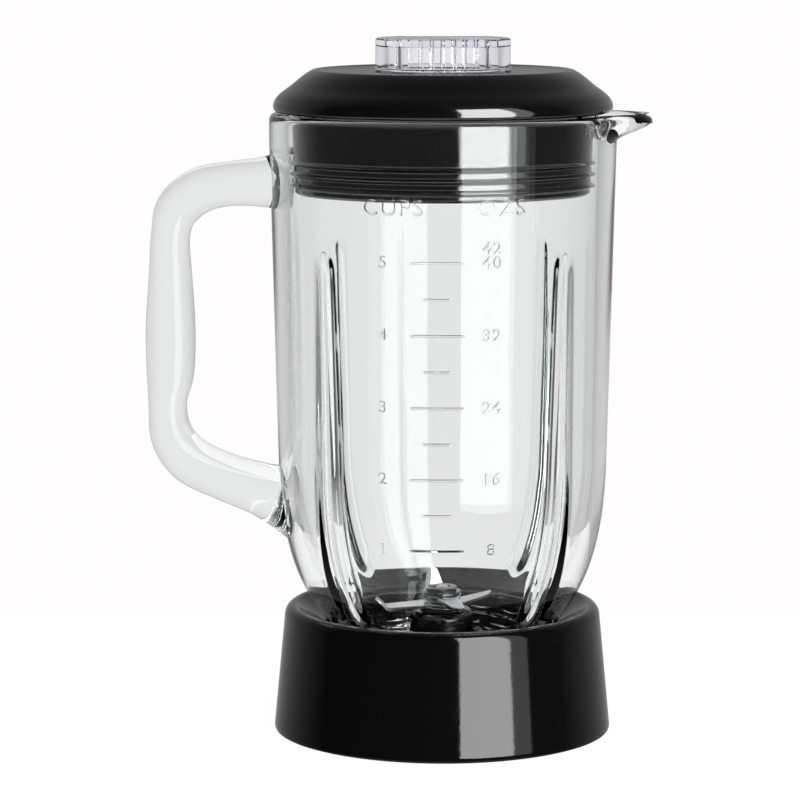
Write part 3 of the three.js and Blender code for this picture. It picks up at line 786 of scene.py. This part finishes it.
def build_lid():
    """The lid in one moulding: sealing skirt, dome, crease and the filler's hole."""
    seat = RIM_Z + 0.6
    crease_r = 46.2
    hole_r = 22.4
    top = LID_TOP
    bottom = LID_LOW.z
    skirt_top, skirt_bottom = 54.3, 52.8
    outside = [
        (skirt_bottom - 1.8, bottom),
        (skirt_bottom - 0.9, bottom + 0.1),
        (skirt_bottom - 0.2, bottom + 0.7),
    ]
    steps = 90
    for i in range(1, steps + 1):
        z = bottom + 0.7 + (seat - 0.6 - bottom - 0.7) * i / steps
        wall = skirt_bottom + (skirt_top - skirt_bottom) * (z - bottom) / (seat - bottom)
        rib = sum(math.exp(-(((z - bottom - k) / 0.55) ** 2)) for k in LID_SEALS)
        outside.append((wall + rib * (LID_SEAL_R - wall), z))
    outside += [(skirt_top + 0.3, seat - 0.1), (skirt_top + 0.9, seat)]
    outside += line(outside[-1], (LID_R - 1.3, seat), 4)
    dome = [
        ((LID_R - 0.5, seat), (LID_R, seat + 0.6), (LID_R, seat + 1.9), 8),
        ((LID_R, seat + 4.4), (LID_R - 2.4, seat + 6.4), (LID_R - 5.2, seat + 8.3), 14),
        ((LID_R - 8, seat + 10.2), (crease_r + 4.6, top - 1.9), (crease_r + 0.7, top + 0.05), 14),
        ((crease_r + 0.2, top + 0.3), (crease_r - 0.4, top + 0.3), (crease_r - 0.9, top + 0.1), 5),
        ((crease_r - 2, top - 0.35), (crease_r - 4, top - 0.4), (crease_r - 8, top - 0.4), 8),
    ]
    for curve in dome:
        outside += bezier(outside[-1], *curve)
    outside += line(outside[-1], (hole_r + 3.2, top - 0.4), 8)
    outside += bezier(outside[-1], (hole_r + 2, top - 0.4), (hole_r + 1.8, top), (hole_r + 0.9, top), 4)
    outside += bezier(outside[-1], (hole_r + 0.3, top), (hole_r, top - 0.3), (hole_r, top - 0.9), 4)
    corners = [
        (hole_r, top - 10),
        (hole_r + 2, top - 10),
        (hole_r + 2, top - 2.8),
        (crease_r - 1.5, top - 3),
        (LID_R - 3.2, seat + 2.6),
        (skirt_top - 2.6, seat + 1.2),
        (skirt_bottom - 2.4, bottom + 0.4),
    ]
    outline = outside + rounded(corners, [0.4, 0.4, 1.5, 2, 3, 2, 0.3])
    lid = lathe("lid", outline, 288)
    return piece(lid, "lid_shell", "lid", LID_BLACK, "black_satin", "lid", degrees=40)


CAP_R = CAP_HIGH.x
CAP_BORE_R = 20
CAP_PLUG_R = 22
CAP_FLAT = 17.5
CAP_RIBS = 9
CAP_RIB_SPACING = 3.95
CAP_RIB = [(0.75, 0), (0.6, 0.55), (0.3, 0.85), (-0.3, 0.85), (-0.6, 0.55), (-0.75, 0)]


def two_flats(radius, flat, ribs=False):
    """The grip's outline: a circle with two flats, which may carry ribs."""
    start = math.asin(flat / radius)
    points = []
    steps = 28
    for side in (1, -1):
        for i in range(steps + 1):
            angle = -start + 2 * start * i / steps + (0 if side == 1 else math.pi)
            points.append((radius * math.cos(angle), radius * math.sin(angle)))
        if ribs:
            for k in range(CAP_RIBS):
                x = side * CAP_RIB_SPACING * ((CAP_RIBS - 1) / 2 - k)
                for dx, out in CAP_RIB:
                    points.append((x + side * dx, side * (flat + out)))
    return [p for p in points if abs(p[0]) <= radius]


def build_cap():
    """The clear filler cap: a hollow ribbed grip on a flange, with a round plug below."""
    seat = LID_HIGH.z
    flange = seat + 0.8
    grip = prism("grip", two_flats(CAP_R - 0.4, CAP_FLAT, ribs=True), flange - 0.3, CAP_TOP, 0.5)
    plug_outline = [
        (CAP_BORE_R, CAP_LOW.z),
        (CAP_PLUG_R, CAP_LOW.z),
        (CAP_PLUG_R, seat),
        (CAP_R, seat),
        (CAP_R, flange),
        (CAP_BORE_R, flange),
    ]
    plug = lathe("plug", rounded(plug_outline, [0.5, 0.5, 0.3, 0.5, 0.5, 0]), 192)
    floor = lathe("floor", [(0, seat + 0.2), (21, seat + 0.2), (21, flange), (0, flange)], 192)
    hollow = prism("hollow", two_flats(CAP_BORE_R, CAP_FLAT - 2), seat - 1, CAP_TOP - 2.6, 0.4)
    combine(grip, [floor, plug], "UNION")
    combine(grip, [hollow], "DIFFERENCE")
    return piece(grip, "cap_clear", "filler_cap", CLEAR, "clear_plastic", "filler_cap", degrees=30)


# ------------------------------------------------------------------ blade unit

FLOOR_Z = 28
BOSS_TOP = HOLDER_HIGH.z
BLADE_T = 1.3
BLADE_HUB_R = 6.9
BLADE_BEND_RADIUS = 1.8
NUT_CORNER_R = 6
CLIP_Z = 15  # the retaining clip's groove in the shaft
CROSS_ANGLE = 20  # the blades' turn on the shaft at rest, in degrees


def build_holder():
    """The blade holder: floor, flange, bearing boss and six webs."""
    bottom = HOLDER_LOW.z
    flange_z = 20.6
    corners = [
        (8, bottom),
        (11, bottom),
        (11.5, FLOOR_Z - 3.4),
        (30, FLOOR_Z - 3),
        (31.2, flange_z),
        (HOLDER_HIGH.x, flange_z),
        (HOLDER_HIGH.x, flange_z + 3),
        (33.6, flange_z + 3),
        (33.6, FLOOR_Z - 0.4),
        (17, FLOOR_Z + 0.8),
        (12.8, FLOOR_Z + 3),
        (11.2, BOSS_TOP - 1),
        (10.4, BOSS_TOP),
        (8, BOSS_TOP),
    ]
    outline = rounded(corners, [0.3, 0.5, 1, 1, 0.5, 0.5, 0.5, 0.4, 0.8, 2.5, 3, 0.6, 0.3, 0.3])
    holder = lathe("holder", outline, 192)
    webs = []
    for i in range(6):
        shape = [(10.5, flange_z + 0.5), (31, flange_z + 0.5), (31, FLOOR_Z - 2.5), (10.5, FLOOR_Z - 2.5)]
        webs.append(turned(loft("web", [[(r, y, z) for r, z in shape] for y in (-0.9, 0.9)]), 60 * i))
    combine(holder, webs, "UNION")
    return piece(holder, "holder_shell", "blade_unit", HOLDER_BLACK, "black_satin", "blade_holder")


def wing(outline, bend_r, angle):
    """One wing along +X. outline gives (distance along the strip, low y, high y); past bend_r the
    strip turns up by angle degrees. Its leading edge is ground to a bevel."""
    theta = math.radians(angle)
    bend_radius = BLADE_BEND_RADIUS
    arc = abs(theta) * bend_radius
    rings = []
    stations = []
    for (s0, a0, b0), (s1, a1, b1) in zip(outline, outline[1:]):
        steps = max(2, int((s1 - s0) / 0.7))
        for i in range(steps):
            t = i / steps
            stations.append((s0 + (s1 - s0) * t, a0 + (a1 - a0) * t, b0 + (b1 - b0) * t))
    stations.append(outline[-1])
    for s, low, high in stations:
        past = s - bend_r
        turn = max(0.0, min(1.0, past / arc)) * theta if arc else 0.0
        if past <= 0:
            x, z = s, 0.0
        elif past < arc:
            x = bend_r + bend_radius * math.sin(abs(turn))
            z = math.copysign(bend_radius * (1 - math.cos(turn)), theta)
        else:
            x = bend_r + bend_radius * math.sin(abs(theta)) + (past - arc) * math.cos(theta)
            z = math.copysign(bend_radius * (1 - math.cos(theta)), theta) + (past - arc) * math.sin(theta)
        up = Vector((-math.sin(turn), 0, math.cos(turn)))
        base = Vector((x, 0, z))
        grind = min(1.5, (high - low) * 0.3) * smoothstep(s, bend_r, bend_r + 2)
        soft = 0.18
        edge = BLADE_T * 0.3 if grind > 0.01 else BLADE_T - soft
        section = [
            (low + soft, 0),
            (high - soft, 0),
            (high, soft),
            (high, edge),
            (high - grind - soft, BLADE_T),
            (low + soft, BLADE_T),
            (low, BLADE_T - soft),
            (low, soft),
        ]
        rings.append([base + up * h + Vector((0, y, 0)) for y, h in section])
    return loft("wing", rings)


def blade(wings, z):
    """A blade of two wings on a hub with the shaft's two flats, its underside at z."""
    corners = [(0, 0), (BLADE_HUB_R, 0), (BLADE_HUB_R, BLADE_T), (0, BLADE_T)]
    hub = lathe("hub", rounded(corners, [0, 0.25, 0.25, 0]), 96)
    combine(hub, wings, "UNION")
    hole = prism("hole", two_flats(3.9, 3.0), -1, 3, 0)
    combine(hub, [hole], "DIFFERENCE")
    return raised(turned(hub, CROSS_ANGLE), z)


def build_blades():
    """Wing outlines run outward from the hub; one wing of each blade rises more than the other."""
    low = span("lower_blade")[0].z
    rising = wing([(3, -4.2, 4.2), (8, -4.2, 4.2), (17.5, -2.8, 3.0), (19.8, -0.6, 2.6)], 7.0, 9)
    level = wing([(3, -4.2, 4.2), (21.2, -3.3, 3.4), (26.6, -1.4, 2.9), (27.9, 0.6, 2.5)], 21.2, 44)
    lower = blade([rising, turned(level, 180)], low)
    piece(lower, "lower_blade_steel", "rotor", STEEL, "stainless", "lower_blade", degrees=25)

    hub_low = span("blade_spacer")[1].z + 0.3
    steep = wing([(3, -4, 4), (8, -4, 4), (16, -2.3, 1.6), (17, -1.0, 1.2)], 7.4, 63)
    dipping = wing([(3, -4.2, 4.2), (8, -4.2, 4.2), (16.5, -2.8, 2.4), (19, -0.4, 2.2)], 7.0, -6)
    upper = blade([turned(steep, 90), turned(dipping, 270)], hub_low)
    piece(upper, "upper_blade_steel", "rotor", STEEL, "stainless", "upper_blade", degrees=25)


def ring_piece(node, name, bore, body, material, slot, edge=0.15, segments=96):
    """A washer or sleeve with eased edges, the size of its CAD node."""
    low, high = span(node)
    outline = [(bore, low.z), (high.x, low.z), (high.x, high.z), (bore, high.z)]
    made = lathe(name, rounded(outline, edge, 3), segments)
    return piece(made, name, body, material, slot, node)


def build_rings():
    """Washers, spacer, gasket, sleeve and bushes."""
    ring_piece("blade_washer", "top_washer_steel", 3.9, "rotor", PAINTED_DARK_STEEL, "stainless")
    ring_piece("blade_spacer", "spacer_steel", 3.9, "rotor", TURNED_STEEL, "stainless")
    ring_piece("thrust_washer", "thrust_washer_steel", 4.3, "rotor", TURNED_STEEL, "stainless")
    ring_piece("nylon_washer", "washer_nylon", 4.3, "rotor", NYLON, "nylon")
    ring_piece("lower_washer", "lower_washer_nylon", 4.3, "rotor", NYLON, "nylon")
    ring_piece("sealing_gasket", "gasket_rubber", 34.6, "blade_unit", RUBBER, "black_rubber", 0.5, 192)
    ring_piece("bearing_sleeve", "sleeve_steel", 6.3, "blade_unit", TURNED_STEEL, "stainless")
    ring_piece("lower_bush", "lower_bush_bronze", 4.3, "blade_unit", BRONZE, "bronze", 0.3)
    ring_piece("upper_bush", "upper_bush_bronze", 4.3, "blade_unit", BRONZE, "bronze", 0.3)


def build_seal():
    low, high = span("shaft_seal")
    corners = [(5.6, low.z), (high.x, low.z), (high.x, high.z), (4.3, high.z), (4.3, high.z - 1.0)]
    seal = lathe("seal", rounded(corners, 0.3, 3), 96)
    piece(seal, "seal_rubber", "blade_unit", RUBBER, "black_rubber", "shaft_seal")


def build_nut():
    """A hexagon with its corners taken off by a dome."""
    low, high = span("blade_nut")
    hexagon = []
    for k in range(6):
        hexagon.append((NUT_CORNER_R * math.cos(math.pi * k / 3), NUT_CORNER_R * math.sin(math.pi * k / 3)))
    nut = turned(prism("nut", hexagon, low.z, high.z, 0.02), 30)
    dome = [
        (0, low.z - 1),
        (5.2, low.z - 0.2),
        (6.2, low.z + 0.4),
        (6.2, high.z - 0.5),
        (4.8, high.z + 0.1),
        (0, high.z + 0.4),
    ]
    hole = [(0, low.z - 2), (3, low.z - 2), (3, high.z + 2), (0, high.z + 2)]
    combine(nut, [lathe("dome", rounded(dome, 0.1), 96)], "INTERSECT")
    combine(nut, [lathe("hole", hole, 64)], "DIFFERENCE")
    piece(nut, "nut_steel_painted_dark", "rotor", PAINTED_DARK_STEEL, "stainless", "blade_nut", degrees=25)


def build_shaft():
    """The shaft, with a groove for the clip and two flats that drive the blades."""
    low, high = span("blade_shaft")
    driven_z = span("lower_blade")[0].z - 0.3
    corners = [
        (0, low.z),
        (3.4, low.z),
        (4, low.z + 0.6),
        (4, CLIP_Z - 0.1),
        (3.2, CLIP_Z - 0.1),
        (3.2, CLIP_Z + 0.8),
        (4, CLIP_Z + 0.8),
        (4, driven_z),
        (2.7, driven_z),
        (2.7, high.z - 0.9),
        (1.9, high.z),
        (0, high.z),
    ]
    shaft = lathe("shaft", rounded(corners, [0, 0.2, 0.2, 0.1, 0.1, 0.1, 0.1, 0.2, 0.1, 0.4, 0.5, 0]), 96)
    nut_z = span("blade_nut")[0].z
    flats = prism("flats", two_flats(3.6, 2.7), driven_z - 0.7, nut_z - 0.1, 0.05)
    combine(shaft, [turned(flats, CROSS_ANGLE)], "UNION")
    piece(shaft, "shaft_steel", "rotor", TURNED_STEEL, "stainless", "blade_shaft", degrees=30)


def build_clip():
    low, high = span("retaining_clip")
    outline = rounded([(3.5, low.z), (high.y, low.z), (high.y, high.z), (3.5, high.z)], 0.12, 3)
    clip = lathe("clip", outline, 96)
    opening = [(0, -2.2), (10, -2.2), (10, 2.2), (0, 2.2)]
    gap = loft("gap", [[(x, y, z) for x, y in opening] for z in (low.z - 1, high.z + 1)])
    combine(clip, [gap], "DIFFERENCE")
    piece(clip, "clip_steel", "rotor", TURNED_STEEL, "stainless", "retaining_clip")


def build_coupling():
    """The drive coupling, with an eight-pointed socket below and the shaft's bore above."""
    low, high = span("drive_coupling")
    corners = [
        (0, low.z),
        (high.x, low.z),
        (high.x, low.z + 5.4),
        (8.2, low.z + 6.6),
        (8.2, high.z),
        (0, high.z),
    ]
    hub = lathe("coupling", rounded(corners, [0, 1, 1, 1, 0.6, 0]), 128)
    star = []
    for k in range(16):
        reach = 7.6 if k % 2 else 5.9
        angle = math.pi * k / 8
        star.append((reach * math.cos(angle), reach * math.sin(angle)))
    socket = prism("socket", star, low.z - 1, low.z + 5, 0)
    bore = lathe("bore", [(0, low.z + 4), (4.3, low.z + 4), (4.3, high.z + 1), (0, high.z + 1)], 64)
    combine(hub, [socket, bore], "DIFFERENCE")
    bevel(hub, 0.25)
    piece(hub, "coupling_cast", "rotor", CAST, "cast_metal", "drive_coupling", degrees=30)


build_jug()
build_collar()
build_lid()
build_cap()
build_holder()
build_blades()
build_rings()
build_seal()
build_nut()
build_shaft()
build_clip()
build_coupling()


# ------------------------------------------------------------------ floor, camera and lights


WHITE = (1.0, 0.985, 0.992, 1)


def build_stage():
    """A small white floor. It isn't mirrored in the plastic, so that the room's dark front is, as
    over the edge of a small table."""
    size = 0.2
    corners = [(-size, -size, 0), (size, -size, 0), (size, size, 0), (-size, size, 0)]
    mesh = bpy.data.meshes.new("floor")
    mesh.from_pydata(corners, [], [(0, 1, 2, 3)])
    floor = bpy.data.objects.new("floor", mesh)
    bpy.context.scene.collection.objects.link(floor)
    n = Nodes("floor_white")
    n.set(Base_Color=(0.03, 0.03, 0.03, 1), Roughness=0.9)
    n.shader.inputs["Specular IOR Level"].default_value = 0.0
    n.shader.inputs["Emission Color"].default_value = WHITE
    n.shader.inputs["Emission Strength"].default_value = 1.0
    mesh.materials.append(n.material)
    floor.visible_glossy = False
    floor.visible_shadow = False


def area_light(name, position, target, width, height, power):
    light = bpy.data.lights.new(name, "AREA")
    light.shape = "RECTANGLE"
    light.size = width
    light.size_y = height
    light.energy = power
    obj = bpy.data.objects.new(name, light)
    obj.location = position
    aim = Vector(target) - Vector(position)
    obj.rotation_mode = "QUATERNION"
    obj.rotation_quaternion = aim.to_track_quat("-Z", "Y")
    bpy.context.scene.collection.objects.link(obj)
    return obj


def around(azimuth, distance, height):
    """A place round the jug: azimuth 0 is the camera's side, and grows towards the spout."""
    a = math.radians(azimuth)
    return (distance * math.sin(a), -distance * math.cos(a), height)


def build_lights():
    height = 0.7
    middle = (0, 0, height)
    area_light("strip_right", around(29.4, 1.1, height), middle, 0.72, 1.9, 35)
    area_light("fill_right", around(54, 1.1, height), middle, 0.26, 1.9, 1.8)
    build_world()


def build_world():
    """A white sweep in a dark room. The camera sees the backdrop as plain white; through the glass
    it dims towards its sides; the plastics mirror a dimmer sweep, the dark room and the pale floor."""
    world = bpy.data.worlds.new("studio")
    bpy.context.scene.world = world
    world.use_nodes = True
    tree = world.node_tree

    def put(socket, value):
        if isinstance(value, bpy.types.NodeSocket):
            tree.links.new(value, socket)
        else:
            socket.default_value = value

    def math_node(operation, a, b=0.0):
        node = tree.nodes.new("ShaderNodeMath")
        node.operation = operation
        put(node.inputs[0], a)
        put(node.inputs[1], b)
        return node.outputs[0]

    def ramp(value, from_low, from_high, low, high, smooth=False):
        node = tree.nodes.new("ShaderNodeMapRange")
        if smooth:
            node.interpolation_type = "SMOOTHSTEP"
        limits = {"From Min": from_low, "From Max": from_high, "To Min": low, "To Max": high}
        for key, number in limits.items():
            node.inputs[key].default_value = number
        put(node.inputs["Value"], value)
        return node.outputs["Result"]

    place = tree.nodes.new("ShaderNodeTexCoord")
    parts = tree.nodes.new("ShaderNodeSeparateXYZ")
    put(parts.inputs["Vector"], place.outputs["Generated"])
    path = tree.nodes.new("ShaderNodeLightPath").outputs
    back, up = parts.outputs["Y"], parts.outputs["Z"]

    mirrored = math_node("MULTIPLY", ramp(back, 0.0, 1.0, 0.02, 0.42), ramp(up, 0.25, 0.8, 1.0, 0.6, True))
    floor = ramp(up, -0.75, -0.35, 0.8, 0.0, True)
    mirrored = math_node("MAXIMUM", mirrored, floor)
    beside = ramp(parts.outputs["X"], 0.1, 0.5, 0.3, 0.8)
    through = math_node("MAXIMUM", ramp(back, 0.2, 1.0, 0.34, 0.88), beside)
    clear = math_node("LESS_THAN", path["Glossy Depth"], 0.5)
    seen = math_node("MAXIMUM", math_node("MULTIPLY", through, clear), mirrored)
    ceiling = ramp(up, 0.1, 0.6, 0.1, 0.7, True)
    table = ramp(up, -0.6, -0.12, 0.75, 0.0, True)
    inner = math_node("MAXIMUM", math_node("MAXIMUM", ceiling, table), ramp(back, 0.3, 1.0, 0.0, 0.85))
    inside = math_node("MULTIPLY", math_node("GREATER_THAN", path["Transmission Depth"], 0.5), inner)
    seen = math_node("MAXIMUM", seen, inside)
    strength = math_node("MAXIMUM", path["Is Camera Ray"], seen)
    put(tree.nodes["Background"].inputs["Strength"], strength)
    put(tree.nodes["Background"].inputs["Color"], WHITE)


CAMERA_PLACE = (-0.0154, -1.285, 0.3009)
CAMERA_LENS = 161.1
LOOKS_DOWN = 8  # degrees


def build_camera():
    data = bpy.data.cameras.new("camera")
    data.lens = CAMERA_LENS
    data.sensor_width = 36
    camera = bpy.data.objects.new("camera", data)
    camera.location = CAMERA_PLACE
    camera.rotation_euler = (math.radians(90 - LOOKS_DOWN), 0, 0)
    bpy.context.scene.collection.objects.link(camera)
    bpy.context.scene.camera = camera


build_stage()
build_lights()
build_camera()
bpy.context.scene.view_settings.view_transform = "Standard"
